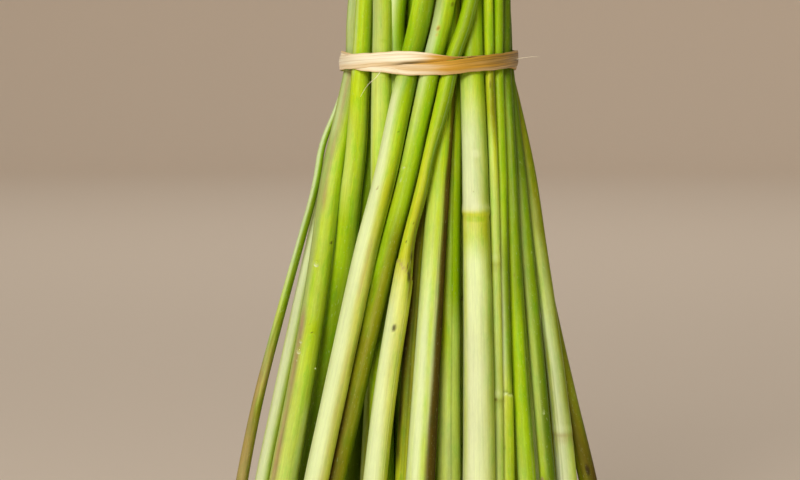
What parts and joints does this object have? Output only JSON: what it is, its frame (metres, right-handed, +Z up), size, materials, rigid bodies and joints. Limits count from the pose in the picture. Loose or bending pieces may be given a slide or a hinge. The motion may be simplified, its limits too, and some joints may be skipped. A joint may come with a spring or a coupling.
{
  "type": "tied lemongrass bunch",
  "caption": "Upright sheaf of fresh lemongrass stalks with swollen cut feet and trimmed tops, held at the waist by a strip of raffia.",
  "frame": {"origin": "middle of the bunch's box, on the plane of its cut feet", "axes": "+Z up along the bunch from its feet to its trimmed tops, +X to its right and -Y to its front"},
  "size_m": [0.1738, 0.1402, 0.4238],
  "materials": {
    "green": "waxy green sheath, satin",
    "pale": "waxy pale green sheath, satin",
    "cream": "waxy cream sheath, satin",
    "olive": "olive to brown drying sheath, satin",
    "raffia": "dry fibrous strip, matt"
  },
  "bodies": {
    "root": {"stalk_01": "olive", "stalk_02": "pale", "stalk_03": "green", "stalk_04": "green", "stalk_05": "pale", "stalk_06": "cream", "stalk_07": "olive", "stalk_08": "cream", "stalk_09": "olive", "stalk_10": "pale", "stalk_11": "green", "stalk_12": "cream", "stalk_13": "pale", "stalk_14": "olive", "stalk_15": "green", "stalk_16": "green", "stalk_17": "cream", "stalk_18": "olive", "stalk_19": "green", "stalk_20": "pale", "stalk_21": "green", "stalk_22": "olive", "stalk_23": "cream", "stalk_24": "green", "stalk_25": "pale", "stalk_26": "green", "stalk_27": "pale", "stalk_28": "green", "stalk_29": "olive", "stalk_30": "cream", "stalk_31": "green", "stalk_32": "pale", "stalk_33": "green", "stalk_34": "pale", "stalk_35": "green", "stalk_36": "olive", "stalk_37": "cream", "stalk_38": "green", "stalk_39": "pale", "stalk_40": "green", "stalk_41": "pale", "stalk_42": "green", "stalk_43": "olive", "stalk_44": "cream", "raffia_tie": "raffia"}
  },
  "joints": []
}
